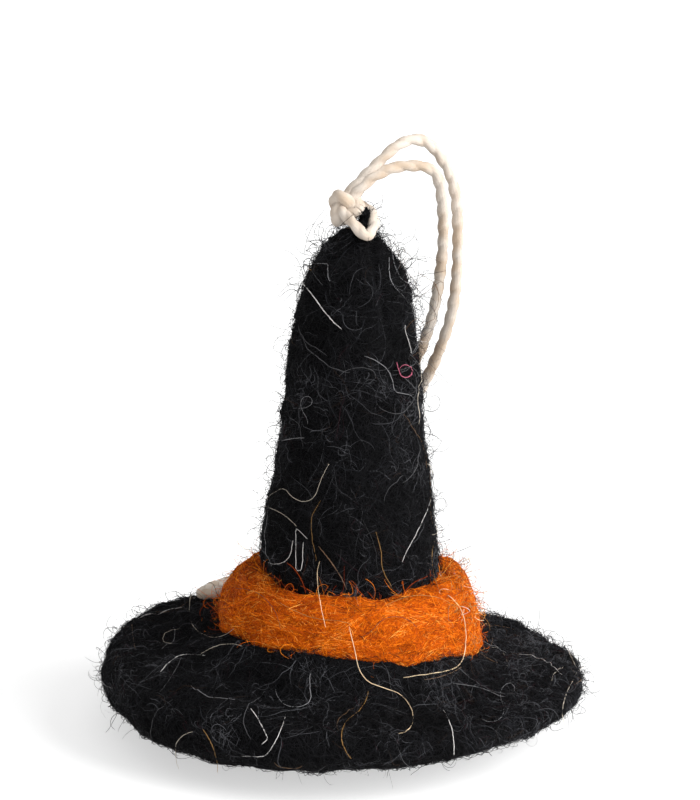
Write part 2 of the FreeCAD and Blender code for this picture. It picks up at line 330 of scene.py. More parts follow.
class Skin:
    """A body turned about a nearly upright line, with its own outline on its right and on its left.

    u is the angle round it, from +X towards +Y, and v runs from 0 to 1 along its outline.
    Lumps raise it and dents lower it, both along its normal.
    """

    SAMPLES = 700
    FLOOR_GAP = 0.02 * MM
    POLE = 0.004    # how far from the ends of the outline a capped surface stops

    def __init__(self, right, left, centre_x, lumps, out_of_round=0.0, dents=(), centre_y=0.0):
        self.grid = np.linspace(0.0, 1.0, self.SAMPLES)
        self.right = smooth_line(right, self.SAMPLES) * MM
        self.left = smooth_line(left, self.SAMPLES) * MM
        self.centre_x = centre_x
        self.centre_y = centre_y
        self.lumps = lumps
        self.out_of_round = out_of_round
        self.dents = dents

    def outline(self, u, v):
        share = 0.5 + 0.5 * np.cos(u)
        r = share * np.interp(v, self.grid, self.right[:, 0])
        r = r + (1 - share) * np.interp(v, self.grid, self.left[:, 0])
        z = share * np.interp(v, self.grid, self.right[:, 1])
        z = z + (1 - share) * np.interp(v, self.grid, self.left[:, 1])
        return r * (1 + self.out_of_round * np.sin(3 * u + 0.7)), z

    def smooth_point(self, u, v):
        r, z = self.outline(u, v)
        return np.stack([self.centre_x(z) + r * np.cos(u), self.centre_y + r * np.sin(u), z], axis=-1)

    def slopes(self, u, v):
        """How far a point moves for a step of u and for a step of v."""
        du, dv = 1e-3, 1e-3
        along_u = (self.smooth_point(u + du, v) - self.smooth_point(u - du, v)) / (2 * du)
        v_low, v_high = np.clip(v - dv, 0, 1), np.clip(v + dv, 0, 1)
        along_v = self.smooth_point(u, v_high) - self.smooth_point(u, v_low)
        return along_u, along_v / (v_high - v_low)[..., None]

    def normal(self, u, v):
        along_u, along_v = self.slopes(u, v)
        n = np.cross(along_u, along_v)
        return n / np.maximum(np.linalg.norm(n, axis=-1, keepdims=True), 1e-12)

    def point(self, u, v, lift=0.0):
        base = self.smooth_point(u, v)
        height = sum(lump(base) for lump in self.lumps) + lift
        for dent in self.dents:
            height = height - dent(base)
        place = base + self.normal(u, v) * np.asarray(height)[..., None]
        place[..., 2] = np.maximum(place[..., 2], self.FLOOR_GAP)
        return place

    def mesh(self, name, around, along, material, ring=False):
        """The body's surface; ring closes its outline on itself, otherwise its ends are capped."""
        if ring:
            rows_at = np.linspace(0, 1, along, endpoint=False)
        else:
            rows_at = np.linspace(self.POLE, 1 - self.POLE, along)
        u, v = np.meshgrid(np.arange(around) * TURN / around, rows_at)
        points = self.point(u, v).reshape(-1, 3)
        row = np.arange(around)
        after = (row + 1) % around
        rows = along if ring else along - 1
        faces = np.concatenate(
            [
                np.stack([k * around + row, k * around + after,
                          (k + 1) % along * around + after, (k + 1) % along * around + row], axis=1)
                for k in range(rows)
            ]
        )
        if not ring:
            last = (along - 1) * around
            ends = [points[:around].mean(axis=0), points[last:].mean(axis=0)]
            first_cap = np.stack([row, np.full(around, len(points)), after, np.full(around, -1)], axis=1)
            last_cap = np.stack(
                [last + row, last + after, np.full(around, len(points) + 1), np.full(around, -1)], axis=1
            )
            points = np.concatenate([points, ends])
            faces = np.concatenate([faces, first_cap, last_cap])
        return build_mesh(name, points, faces, [material])


# Outlines, as (radius, height) in millimetres. The band's run down its outside and the others run up
# it, so the band's normals point into it, and its fibres lie mostly just under its skin.
BRIM_RIGHT = [
    (0.0, 0.0), (9.0, 0.0), (16.0, 0.1), (20.0, 1.7), (24.5, 3.6), (28.5, 4.9), (31.0, 5.6),
    (32.2, 6.6), (31.8, 7.6), (30.2, 8.3), (27.5, 8.8), (24.0, 9.2), (20.0, 10.1), (16.0, 11.9),
    (12.0, 14.0), (0.0, 14.4),
]
BRIM_LEFT = [
    (0.0, 0.0), (9.0, 0.0), (17.5, 0.05), (21.0, 0.5), (25.4, 1.3), (29.2, 2.6), (31.4, 4.6),
    (32.4, 6.9), (32.5, 9.0), (31.7, 10.8), (29.2, 11.8), (26.0, 12.3), (22.5, 13.1), (19.0, 14.7),
    (12.0, 15.4), (0.0, 15.4),
]
CROWN = [
    (0.0, 13.0), (8.0, 13.0), (12.0, 14.0), (12.0, 18.0), (11.8, 24.0), (11.6, 27.5), (11.0, 31.5),
    (10.2, 35.5), (9.8, 40.0), (9.25, 45.5), (8.65, 51.0), (8.0, 56.0), (7.3, 60.0), (6.5, 63.0),
    (5.5, 65.2), (4.4, 66.9), (3.3, 68.3), (2.0, 69.5), (0.0, 70.2),
]
BAND_RIGHT = [
    (12.0, 12.3), (11.6, 17.0), (11.8, 21.4), (12.9, 22.2), (14.9, 21.3), (16.6, 18.9), (17.4, 15.8),
    (17.5, 13.2), (17.1, 11.5), (14.5, 11.0), (12.0, 12.3),
]
BAND_LEFT = [
    (12.0, 13.8), (11.6, 17.5), (11.8, 21.9), (12.9, 22.7), (15.0, 21.9), (16.8, 19.9), (17.8, 17.5),
    (17.9, 15.4), (17.2, 13.8), (14.5, 13.2), (12.0, 13.8),
]
TIP_TUFT = [(0.0, 68.2), (0.9, 68.6), (1.0, 70.2), (0.8, 71.6), (0.5, 72.5), (0.0, 72.9)]


def upright(x):
    """A centre line that stands straight up at x."""
    return lambda z: np.full_like(z, x)


def crown_centre(z):
    """The crown's centre line, which leans to the right in its upper half."""
    return (0.85 + 0.8 * np.clip((z / MM - 35.0) / 30.0, 0.0, 1.0)) * MM


def crown_crease(points):
    """The shallow fold that runs down the front of the crown from the string's stitch."""
    z = points[..., 2] / MM
    down = np.clip((70.0 - z) / 15.0, 0.0, 1.0)
    x = (3.3 + 3.0 * down) * MM
    fade = np.clip((z - 51.0) / 8.0, 0.0, 1.0) * (points[..., 1] < 0)
    return 0.55 * MM * fade * np.exp(-(((points[..., 0] - x) / (0.7 * MM)) ** 2))


def front_undercut(points):
    """The brim's lower face is drawn in at the front, so that little of it overhangs the table there."""
    x, y, z = (points[..., i] / MM for i in range(3))
    r = np.maximum(np.hypot(x, y), 1.0)
    low = np.clip((8.0 - z) / 6.0, 0.0, 1.0) * np.clip((r - 15.5) / 5.0, 0.0, 1.0)
    return 0.8 * MM * low * np.clip(-y / r, 0.0, 1.0) ** 2


def front_seat(points):
    """The brim swells up under the band's front edge, and a little further round on the right."""
    x, y, z = (points[..., i] / MM for i in range(3))
    r = np.maximum(np.hypot(x, y), 1.0)
    near = np.exp(-(((r - 17.5) / 3.6) ** 2)) * np.clip((z - 8.0) / 2.0, 0.0, 1.0)
    front = np.clip(-y / r, 0.0, 1.0) ** 1.5
    front_right = np.clip(x / r, 0.0, 1.0) * np.clip(-2 * y / r, 0.0, 1.0)
    return -near * (2.1 * MM * front + 1.0 * MM * front_right)


def back_sag(points):
    """The brim droops a little at its back, on the right."""
    x, y, z = (points[..., i] / MM for i in range(3))
    r = np.maximum(np.hypot(x, y), 1.0)
    out = np.clip((r - 16.0) / 8.0, 0.0, 1.0) * np.clip((z - 6.0) / 2.0, 0.0, 1.0)
    return 1.2 * MM * out * np.clip(y / r, 0.0, 1.0) * np.clip(0.35 + x / r, 0.0, 1.0)


BRIM_SKIN = Skin(
    BRIM_RIGHT, BRIM_LEFT, upright(0.0),
    [Lumps(11, 17 * MM, 0.20 * MM), Lumps(12, 5 * MM, 0.12 * MM), Lumps(13, 1.7 * MM, 0.07 * MM)],
    0.004, [front_undercut, front_seat, back_sag],
)
CROWN_SKIN = Skin(
    CROWN, CROWN, crown_centre,
    [Lumps(21, 15 * MM, 0.12 * MM), Lumps(22, 4.5 * MM, 0.09 * MM), Lumps(23, 1.6 * MM, 0.06 * MM)],
    0.006, [crown_crease],
)
BAND_SKIN = Skin(
    BAND_RIGHT, BAND_LEFT, upright(0.9 * MM),
    [Lumps(31, 9 * MM, 0.16 * MM), Lumps(32, 2.4 * MM, 0.10 * MM, (0.4, 0.4, 1.6)),
     Lumps(33, 0.9 * MM, 0.06 * MM, (0.3, 0.3, 1.5))],
    0.008,
)
TUFT_SKIN = Skin(
    TIP_TUFT, TIP_TUFT, upright(2.9 * MM), [Lumps(41, 1.2 * MM, 0.12 * MM)], centre_y=-1.1 * MM,
)

brim = BRIM_SKIN.mesh("brim", 360, 240, BLACK_FELT)
crown = CROWN_SKIN.mesh("crown", 240, 330, BLACK_FELT)
band = BAND_SKIN.mesh("band", 420, 110, ORANGE_FELT, ring=True)
tip_tuft = TUFT_SKIN.mesh("crown_tip_tuft", 60, 40, BLACK_FELT)
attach(tip_tuft, "hat")

for piece, body_nodes, finish_slot in (
    (brim, ("brim_cover", "brim_core"), "black_felt"),
    (crown, ("crown_cover", "crown_core"), "black_felt"),
    (band, ("hat_band",), "orange_felt"),
):
    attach(piece, "hat")
    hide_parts(*body_nodes)

# ---------------------------------------------------------------- the string

PLY_RADIUS = 0.62 * MM
PLY_OFFSET = 0.17 * MM
PLY_PITCH = 4.6 * MM
YARNS = 12
YARN_PITCH = 9.0 * MM
YARN_RELIEF = 0.025
CORD_STEP = 0.17 * MM
CORD_SIDES = 36
KNOT_THICKNESS = 1.2              # of the string's own
KNOT_SIZE = (0.56, 0.64, 0.80)    # across, up and deep
KNOT_LEAN = math.radians(24)
KNOT_CENTRE = (0.15, -0.5, 72.8)  # millimetres
FUZZ_STEPS = 6

LOOP_ROUTE = [
    (0.0001, 0.0003, 0.0740), (0.0024, 0.0007, 0.0764), (0.0046, 0.0014, 0.0785),
    (0.0071, 0.0028, 0.0807), (0.0099, 0.0046, 0.0812), (0.0125, 0.0060, 0.0792),
    (0.0150, 0.0072, 0.0740), (0.0154, 0.0080, 0.0660), (0.0150, 0.0090, 0.0569), (0.0128, 0.0106, 0.0495),
    (0.0099, 0.0126, 0.0429), (0.0040, 0.0170, 0.0330), (-0.0025, 0.0223, 0.0238),
    (-0.0084, 0.0254, 0.0163), (-0.0138, 0.0250, 0.0131), (-0.0187, 0.0218, 0.0126),
    (-0.0206, 0.0170, 0.0130), (-0.0178, 0.0131, 0.0146), (-0.0128, 0.0139, 0.0156),
    (-0.0075, 0.0174, 0.0208), (-0.0010, 0.0154, 0.0310), (0.0060, 0.0128, 0.0420),
    (0.0114, 0.0104, 0.0515), (0.0134, 0.0080, 0.0637), (0.0132, 0.0058, 0.0732),
    (0.0120, 0.0040, 0.0774), (0.0073, 0.0020, 0.0780), (0.0040, 0.0006, 0.0770),
    (0.0018, -0.0001, 0.0749), (0.0006, -0.0003, 0.0737),
]
STITCH_ROUTE = [
    (0.0005, 0.0008, 0.0730), (0.0020, 0.0006, 0.0730), (0.0033, -0.0001, 0.0725),
    (0.0041, -0.0015, 0.0714), (0.0037, -0.0030, 0.0701), (0.0028, -0.0040, 0.0696),
    (0.0016, -0.0037, 0.0711), (0.0003, -0.0028, 0.0722), (-0.0005, -0.0012, 0.0728),
]


def nurbs_line(route, resolution=24):
    """The points that Blender gives for a NURBS spline with the route as its control points."""
    curve = bpy.data.curves.new("route", "CURVE")
    curve.dimensions = "3D"
    curve.resolution_u = resolution
    spline = curve.splines.new("NURBS")
    spline.points.add(len(route) - 1)
    for point, place in zip(spline.points, route):
        point.co = (*place, 1.0)
    spline.order_u = 3
    spline.use_endpoint_u = True
    holder = bpy.data.objects.new("route", curve)
    mesh = bpy.data.meshes.new_from_object(holder)
    line = np.array([vertex.co for vertex in mesh.vertices])
    bpy.data.meshes.remove(mesh)
    bpy.data.objects.remove(holder)
    bpy.data.curves.remove(curve)
    return line


def twisted_cord(name, line, thickness=1.0):
    """Two plies of yarn twisted into one string along a line, as a single closed tube."""
    sides, steps = CORD_SIDES, round(line_length(line) / CORD_STEP)
    line = even_steps(line, steps)
    along = np.linspace(0.0, line_length(line), steps)[:, None]
    _, normals, binormals = (a[0][:, None] for a in tube_frames(line[None]))
    angle = (np.arange(sides) * TURN / sides)[None, :]
    from_ply = angle - along * TURN / PLY_PITCH
    lobes = PLY_OFFSET * np.abs(np.cos(from_ply))
    lobes = lobes + np.sqrt(PLY_RADIUS**2 - (PLY_OFFSET * np.sin(from_ply)) ** 2)
    yarns = 1.0 + YARN_RELIEF * np.cos(YARNS * angle + along * TURN / YARN_PITCH)
    uneven = 1.0 + 0.035 * np.sin(along / (1.9 * MM)) + 0.025 * np.sin(along / (0.7 * MM) + 1.0)
    out = normals * np.cos(angle)[..., None] + binormals * np.sin(angle)[..., None]
    points = line[:, None] + out * (lobes * yarns * uneven * thickness)[..., None]
    row = np.arange(sides)
    after = (row + 1) % sides
    start = (np.arange(steps - 1) * sides)[:, None]
    faces = np.stack([start + row, start + after, start + sides + after, start + sides + row], axis=-1)
    end, none = (steps - 1) * sides, np.full(sides, -1)
    near_cap = np.stack([np.full(sides, steps * sides), after, row, none], axis=1)
    far_cap = np.stack([np.full(sides, steps * sides + 1), end + row, end + after, none], axis=1)
    points = np.concatenate([points.reshape(-1, 3), line[:1], line[-1:]])
    return build_mesh(name, points, np.concatenate([faces.reshape(-1, 4), near_cap, far_cap]), [COTTON])


def knot_line():
    """The line of an overhand knot pulled tight, standing upright where the string's ends meet."""
    t = np.linspace(0.12 * TURN, 1.12 * TURN, 120)
    across = np.sin(t) + 2 * np.sin(2 * t)
    up = np.cos(t) - 2 * np.cos(2 * t)
    deep = -np.sin(3 * t)
    across, up, deep = (size * part for size, part in zip(KNOT_SIZE, (across, up, deep)))
    x = across * math.cos(KNOT_LEAN) + up * math.sin(KNOT_LEAN)
    z = up * math.cos(KNOT_LEAN) - across * math.sin(KNOT_LEAN)
    return (np.stack([x, deep, z], axis=1) + KNOT_CENTRE) * MM


loop_line = nurbs_line(LOOP_ROUTE)
hanging_loop = twisted_cord("string_loop", loop_line)
stitch = twisted_cord("string_stitch", nurbs_line(STITCH_ROUTE))
knot = twisted_cord("string_knot", knot_line(), KNOT_THICKNESS)


def fuzz_on_cord(name, line, count, seed):
    """Short cotton ends that stand off the string."""
    rng = np.random.default_rng(seed)
    line = even_steps(line, 1200)
    _, normals, binormals = (a[0] for a in tube_frames(line[None]))
    tangents = np.gradient(line, axis=0)
    tangents /= np.linalg.norm(tangents, axis=1, keepdims=True)
    at = rng.integers(4, len(line) - 4, count)
    turn = rng.uniform(0, TURN, count)[:, None]
    out = normals[at] * np.cos(turn) + binormals[at] * np.sin(turn)
    lean = tangents[at] * rng.choice([-1.0, 1.0], (count, 1)) + out * rng.uniform(0.15, 0.8, (count, 1))
    way = lean / np.linalg.norm(lean, axis=1, keepdims=True)
    start = line[at] + out * 0.55 * MM
    bend = rng.normal(0.0, 0.35, (count, 3))
    reach = rng.uniform(0.4, 1.5, (count, 1)) * MM
    lines = [start]
    for _ in range(FUZZ_STEPS - 1):
        lines.append(lines[-1] + way * reach / (FUZZ_STEPS - 1))
        way = way + bend
        way /= np.linalg.norm(way, axis=1, keepdims=True)
    lines = np.stack(lines, axis=1)
    radii = np.linspace(0.016, 0.006, FUZZ_STEPS)[None] * MM * np.ones((count, 1))
    return tube_mesh(name, lines, radii, COTTON_FUZZ)


loop_fuzz = fuzz_on_cord("string_fuzz", loop_line, 1500, 51)

for piece, body, node in (
    (hanging_loop, "loop", "hanging_loop"),
    (knot, "loop", "cord_knot"),
    (stitch, "hat", "cord_stitch"),
):
    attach(piece, body)
    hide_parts(node)
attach(loop_fuzz, "loop")

# ---------------------------------------------------------------- wool fibres

MAX_TRIANGLES = 185_000    # the most triangles in one piece; in one piece, so that its STL keeps every face
CLOUDS = Lumps(61, 5 * MM, 0.22)                        # locks of darker and lighter wool
BAND_FLOW = Lumps(62, 9 * MM, 0.42, (1.0, 1.0, 1.6))    # locks that lie at different angles
SHADE_SPREAD = 0.72     # how much of the mix chance alone reaches
PAINTED_RIGHT_LIGHT = 0.10       # painted light: how much lighter the mix is on the hat's right, where the key light falls
CRIMP = 0.35            # how wavy a felted fibre is, as a share of its rise
END_DEPTH = 0.06 * MM   # how far a felted fibre's ends lie past the skin
ROOT_DEPTH = 0.1 * MM   # and a standing fibre's root
WALK_POINTS = 10
BAND_POINTS = 14
DOWN_POINTS = 7
CURL_POINTS = 12


def add_fibres(name, lines, radii, materials, shade):
    """Fibres as closed tubes, in as many pieces as the limit on triangles needs."""
    per_fibre = (lines.shape[1] - 1) * 6 + 2
    pieces = math.ceil(len(lines) * per_fibre / MAX_TRIANGLES)
    for i in range(pieces):
        part = slice(i, None, pieces)
        piece = tube_mesh(f"{name}_{i + 1}", lines[part], radii[part], materials, shade[part])
        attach(piece, "hat")


def taper(count, steps, radius):
    """Radii that thin out towards both ends of each fibre."""
    shape = 0.35 + 0.65 * np.sin(np.linspace(0.12, math.pi - 0.12, steps)) ** 0.5
    return shape[None] * np.broadcast_to(radius, (count,))[:, None]


def pick_shades(rng, shares, places):
    """A shade for each fibre: mostly chance, partly the colour of the lock that it lies in, and lighter on
    the hat's right as painted light.
    """
    chance = 0.5 + SHADE_SPREAD * (rng.uniform(0, 1, len(places)) - 0.5) + CLOUDS(places)
    # Painted light: fibres on the hat's right take lighter shades, as if more light fell there.
    chance = chance + PAINTED_RIGHT_LIGHT * np.clip((places[:, 0] / MM - 6.0) / 10.0, 0.0, 1.0)
    return np.searchsorted(np.cumsum(shares)[:-1], np.clip(chance, 0.0, 1.0))


def lay_on(skin, rng, count, v_range, length, heading, wander, curl, steps, u_range=(0, TURN), flow=None):
    """Walks that start anywhere on a skin and keep to it: returns their u and v at each step.

    flow turns the fibres that lie near each other the same way, as they lie in a lock of wool.
    """
    low, high = v_range
    v_try = rng.uniform(low, high, count * 4)
    u_try = rng.uniform(*u_range, count * 4)
    r, _ = skin.outline(u_try, v_try)
    keep = rng.uniform(0, r.max(), count * 4) < r
    u, v = u_try[keep][:count], v_try[keep][:count]
    count = len(u)
    way = heading(rng, count)
    turn = rng.normal(0.0, curl, count)
    step = rng.uniform(*length, count) / (steps - 1)
    us, vs = [u], [v]
    for _ in range(steps - 1):
        along_u, along_v = skin.slopes(u, v)
        course = way if flow is None else way + flow(skin.smooth_point(u, v))
        u = u + np.cos(course) * step / np.maximum(np.linalg.norm(along_u, axis=1), 1.5 * MM)
        v = v + np.sin(course) * step / np.linalg.norm(along_v, axis=1)
        v = np.clip(v, low, high)
        way = way + turn + rng.normal(0.0, wander, count)
        us.append(u)
        vs.append(v)
    return np.stack(us, axis=1), np.stack(vs, axis=1)


def any_heading(rng, count):
    return rng.uniform(0, TURN, count)


def round_the_hat(spread):
    """Headings mostly round the hat, one way or the other."""
    def heading(rng, count):
        return rng.choice([0.0, math.pi], count) + rng.normal(0.0, spread, count)
    return heading


def matted(
    name, skin, seed, count, v_range, length, heading, wander, curl, radius, rise, look,
    steps=WALK_POINTS, flow=None, u_range=(0, TURN),
):
    """Fibres felted down on a skin: along its normal, both ends dive in and the middle rises a little."""
    materials, shares, finish_slot = look
    rng = np.random.default_rng(seed)
    u, v = lay_on(skin, rng, count, v_range, length, heading, wander, curl, steps, u_range, flow)
    count, steps = u.shape
    arch = np.sin(np.linspace(0, math.pi, steps))[None] ** 0.6
    waves = rng.uniform(0.4, 1.0, (count, 1)) * arch + CRIMP * arch * np.sin(
        np.linspace(0, 1, steps)[None] * rng.uniform(4, 14, (count, 1)) + rng.uniform(0, TURN, (count, 1))
    )
    top = rng.gamma(2.0, rise / 2.0, (count, 1))
    lift = waves * top - END_DEPTH * (1 - arch)
    lines = skin.point(u, v, lift)
    radii = taper(count, steps, rng.uniform(*radius, count))
    add_fibres(name, lines, radii, materials, pick_shades(rng, shares, lines[:, 0]))


def standing(
    name, skin, seed, count, v_range, length, radius, look,
    up=(0.25, 1.0), curl=0.20, u_range=(0, TURN), pull=(0.0, 0.0, 0.0),
):
    """Fibres rooted in a skin that spring off it in loose curls, to the side that its normal points to.

    pull is a direction that they favour.
    """
    materials, shares, finish_slot = look
    steps = CURL_POINTS
    rng = np.random.default_rng(seed)
    u, v = lay_on(skin, rng, count, v_range, (1 * MM, 2 * MM), any_heading, 0.0, 0.0, 2, u_range)
    u, v = u[:, 0], v[:, 0]
    count = len(u)
    start = skin.point(u, v, -ROOT_DEPTH)
    out = skin.normal(u, v)
    side = np.cross(out, rng.normal(size=(count, 3)))
    side /= np.linalg.norm(side, axis=1, keepdims=True)
    lean = rng.uniform(*up, (count, 1))
    way = side + out * lean + np.asarray(pull)
    way /= np.linalg.norm(way, axis=1, keepdims=True)
    turn = rng.normal(0.0, curl, (count, 3))
    step = rng.uniform(*length, (count, 1)) / (steps - 1)
    lines = [start]
    for _ in range(steps - 1):
        lines.append(lines[-1] + way * step)
        way = way + np.cross(turn, way)
        way /= np.linalg.norm(way, axis=1, keepdims=True)
        turn = turn + rng.normal(0.0, 0.45 * curl, (count, 3))
    lines = np.stack(lines, axis=1)
    lines[..., 2] = np.maximum(lines[..., 2], 0.1 * MM)
    radii = taper(count, steps, rng.uniform(*radius, count))
    add_fibres(name, lines, radii, materials, pick_shades(rng, shares, lines[:, 0]))


# A look is the fibres' materials, the share of each, and the finish slot.
BLACK = (BLACK_FIBRES, BLACK_SHARES, "black_felt")
ORANGE = (ORANGE_FIBRES, ORANGE_SHARES, "orange_felt")
FRINGE = (ORANGE_FIBRES, (0.42, 0.18, 0.14, 0.14, 0.10, 0.02), "orange_felt")
BRIM_BLACK = (BLACK_FIBRES, (0.38, 0.34, 0.19, 0.008, 0.060, 0.010, 0.012), "black_felt")
TOP_FRINGE = (ORANGE_FIBRES, (0.38, 0.08, 0.10, 0.16, 0.20, 0.08), "orange_felt")
# Grey and slate fibres: partly the wool's own grey fuzz, partly painted light on the brim's right and back
# right, where the key light falls.
GREY_FUZZ_AND_PAINTED_LIGHT = (BLACK_FIBRES, (0.0, 0.05, 0.20, 0.05, 0.45, 0.05, 0.20), "black_felt")
DARK_STRANDS = (ORANGE_FIBRES, (0.75, 0.25, 0.0, 0.0, 0.0, 0.0), "orange_felt")
CURLS = (STRAY_FIBRES, (0.0, 0.0, 0.0, 0.06, 0.32, 0.38, 0.0, 0.12, 0.12), "core_wool")
WISPS = (STRAY_FIBRES, (0.0, 0.06, 0.14, 0.40, 0.25, 0.0, 0.0, 0.15), "core_wool")
# The least and the greatest radius of a fibre.
FINE = (0.022 * MM, 0.045 * MM)
THIN = (0.014 * MM, 0.036 * MM)
SILKY = (0.018 * MM, 0.036 * MM)
LOCK = (0.030 * MM, 0.055 * MM)
# Stretches of u.
RIGHT_SIDE = (math.radians(-32), math.radians(25))
# The brim's right, which the grey fibres lighten as painted light.
PAINTED_LIGHT_SIDE = (math.radians(-55), math.radians(60))
LEFT_SIDE = (math.radians(160), math.radians(215))
BACK_RIGHT = (math.radians(-20), math.radians(80))

matted(
    "crown_wool", CROWN_SKIN, seed=101, count=9000, v_range=(0.20, 0.995), length=(3 * MM, 9 * MM),
    heading=any_heading, wander=0.25, curl=0.12, radius=FINE, rise=0.20 * MM, look=BLACK,
)
matted(
    "crown_down", CROWN_SKIN, seed=121, count=9000, v_range=(0.20, 0.995),
    length=(1.2 * MM, 3.5 * MM), heading=any_heading, wander=0.35, curl=0.3, radius=FINE,
    rise=0.26 * MM, look=BLACK, steps=DOWN_POINTS,
)
matted(
    "brim_wool", BRIM_SKIN, seed=102, count=15000, v_range=(0.42, 0.92), length=(3 * MM, 9 * MM),
    heading=any_heading, wander=0.25, curl=0.12, radius=FINE, rise=0.22 * MM, look=BLACK,
)
matted(
    "brim_down", BRIM_SKIN, seed=122, count=15000, v_range=(0.42, 0.92),
    length=(1.2 * MM, 3.5 * MM), heading=any_heading, wander=0.35, curl=0.3, radius=FINE,
    rise=0.28 * MM, look=BRIM_BLACK, steps=DOWN_POINTS,
)
matted(
    "brim_under_wool", BRIM_SKIN, seed=123, count=6000, v_range=(0.02, 0.44),
    length=(3 * MM, 9 * MM), heading=any_heading, wander=0.22, curl=0.12, radius=FINE,
    rise=0.10 * MM, look=BLACK,
)
matted(
    "tuft_wool", TUFT_SKIN, seed=104, count=350, v_range=(0.10, 0.98), length=(1 * MM, 3 * MM),
    heading=any_heading, wander=0.25, curl=0.2, radius=FINE, rise=0.15 * MM, look=BLACK,
)
matted(
    "band_wool", BAND_SKIN, seed=103, count=9500, v_range=(0.27, 0.84), length=(5 * MM, 15 * MM),
    heading=round_the_hat(0.22), wander=0.10, curl=0.05, radius=SILKY, rise=0.34 * MM, look=ORANGE,
    steps=BAND_POINTS, flow=BAND_FLOW,
)
matted(
    "band_locks", BAND_SKIN, seed=105, count=1500, v_range=(0.28, 0.82), length=(6 * MM, 16 * MM),
    heading=round_the_hat(0.30), wander=0.16, curl=0.09, radius=LOCK, rise=0.60 * MM, look=ORANGE,
    steps=BAND_POINTS, flow=BAND_FLOW,
)
matted(
    "band_edge_wool", BAND_SKIN, seed=106, count=700, v_range=(0.27, 0.44),
    length=(4 * MM, 11 * MM), heading=round_the_hat(0.4), wander=0.16, curl=0.08, radius=SILKY,
    rise=0.75 * MM, look=FRINGE,
)
matted(
    "band_foot_wool", BAND_SKIN, seed=107, count=900, v_range=(0.66, 0.84),
    length=(4 * MM, 11 * MM), heading=round_the_hat(0.35), wander=0.16, curl=0.08, radius=SILKY,
    rise=0.60 * MM, look=FRINGE,
)
standing(
    "crown_flyaways", CROWN_SKIN, seed=111, count=2600, v_range=(0.30, 0.995),
    length=(1.0 * MM, 4.5 * MM), radius=THIN, look=BLACK,
)
standing(
    "crown_curls", CROWN_SKIN, seed=115, count=330, v_range=(0.24, 0.995),
    length=(2.0 * MM, 6.0 * MM), radius=FINE, look=BLACK,
)
standing(
    "brim_flyaways", BRIM_SKIN, seed=112, count=2600, v_range=(0.46, 0.90),
    length=(1.0 * MM, 4.5 * MM), radius=THIN, look=BLACK,
)
standing(
    "brim_curls", BRIM_SKIN, seed=116, count=400, v_range=(0.48, 0.90), length=(2.0 * MM, 6.0 * MM),
    radius=FINE, look=BLACK,
)
standing(
    "tip_curls", CROWN_SKIN, seed=118, count=220, v_range=(0.80, 0.995),
    length=(3.0 * MM, 7.5 * MM), radius=FINE, look=BLACK, up=(0.3, 1.2),
)
standing(
    "tip_side_curls", CROWN_SKIN, seed=125, count=70, v_range=(0.70, 0.93),
    length=(4.0 * MM, 9.0 * MM), radius=THIN, look=WISPS, up=(0.4, 1.3), curl=0.16,
    u_range=RIGHT_SIDE,
)
standing(
    "tuft_flyaways", TUFT_SKIN, seed=120, count=110, v_range=(0.20, 0.98),
    length=(1.5 * MM, 4.5 * MM), radius=FINE, look=BLACK, up=(0.4, 1.2),
)
matted(
    "band_dark_strands", BAND_SKIN, seed=108, count=170, v_range=(0.28, 0.82),
    length=(5 * MM, 13 * MM), heading=round_the_hat(0.5), wander=0.20, curl=0.12, radius=SILKY,
    rise=0.70 * MM, look=DARK_STRANDS, steps=BAND_POINTS,
)
standing(
    "band_flyaways", BAND_SKIN, seed=113, count=900, v_range=(0.30, 0.78),
    length=(2.0 * MM, 7.0 * MM), radius=SILKY, look=ORANGE, up=(0.15, 0.7),
)
standing(
    "band_top_fringe", BAND_SKIN, seed=117, count=480, v_range=(0.26, 0.40),
    length=(2.5 * MM, 8.0 * MM), radius=THIN, look=TOP_FRINGE, up=(0.1, 0.7), curl=0.12,
    pull=(0.0, 0.0, 0.22),
)
# Partly painted light: lighter grey fibres laid only over the brim's right, the side that the key light
# falls on; partly real grey fuzz.
matted(
    "brim_grey_fuzz_painted_light", BRIM_SKIN, seed=124, count=1700, v_range=(0.48, 0.88),
    length=(1.5 * MM, 5.0 * MM), heading=any_heading, wander=0.30, curl=0.2, radius=THIN,
    rise=0.42 * MM, look=GREY_FUZZ_AND_PAINTED_LIGHT, u_range=PAINTED_LIGHT_SIDE,
)
# Partly painted light: lighter grey fuzz standing on the brim's right and back right, where light falls;
# partly real grey fuzz.
standing(
    "brim_back_fuzz", BRIM_SKIN, seed=119, count=800, v_range=(0.46, 0.74),
    length=(1.2 * MM, 4.4 * MM), radius=FINE, look=GREY_FUZZ_AND_PAINTED_LIGHT, up=(0.4, 1.3), u_range=BACK_RIGHT,
)
standing(
    "band_right_fuzz", BAND_SKIN, seed=126, count=480, v_range=(0.32, 0.78),
    length=(2.0 * MM, 5.0 * MM), radius=SILKY, look=ORANGE, up=(0.5, 1.4), curl=0.22,
    u_range=RIGHT_SIDE,
)
standing(
    "band_left_fuzz", BAND_SKIN, seed=127, count=420, v_range=(0.32, 0.78),
    length=(2.0 * MM, 5.0 * MM), radius=SILKY, look=ORANGE, up=(0.5, 1.4), curl=0.22,
    u_range=LEFT_SIDE,
)
standing(
    "band_side_curls", BAND_SKIN, seed=114, count=150, v_range=(0.40, 0.76),
    length=(3.0 * MM, 7.0 * MM), radius=FINE, look=CURLS, up=(0.4, 1.2), curl=0.26,
    u_range=RIGHT_SIDE,
)

# ---------------------------------------------------------------- coarse stray hairs

STRAY_POINTS = 26
ARC_STEPS = 8
HAIR_RADIUS = 0.8 * MM    # for a thickness of 1
PICTURE_UP = Vector((0.0, math.sin(CAMERA_ELEVATION), math.cos(CAMERA_ELEVATION)))

